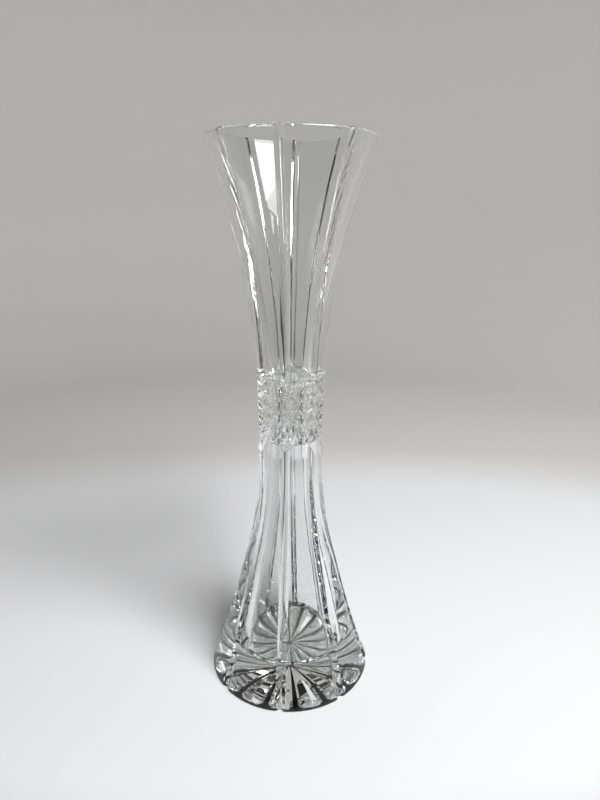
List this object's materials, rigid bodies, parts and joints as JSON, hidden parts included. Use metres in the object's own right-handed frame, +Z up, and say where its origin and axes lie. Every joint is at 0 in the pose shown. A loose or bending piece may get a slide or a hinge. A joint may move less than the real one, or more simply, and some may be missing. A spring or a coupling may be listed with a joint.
{
  "type": "vase",
  "caption": "Tall waisted vase in clear cut crystal: trumpet bowl and flared foot with long mitre cuts, a collar of cut diamonds between them, and a star cut underneath.",
  "frame": {"origin": "centre of the resting face under the foot", "axes": "+Z up the vase's axis towards the rim, -Y towards the front"},
  "size_m": [0.0944, 0.0944, 0.3],
  "materials": {
    "cut_crystal": "polished clear lead crystal, wheel-cut"
  },
  "bodies": {
    "root": {"trumpet_bowl": "cut_crystal", "diamond_collar": "cut_crystal", "flared_foot": "cut_crystal"}
  },
  "joints": []
}
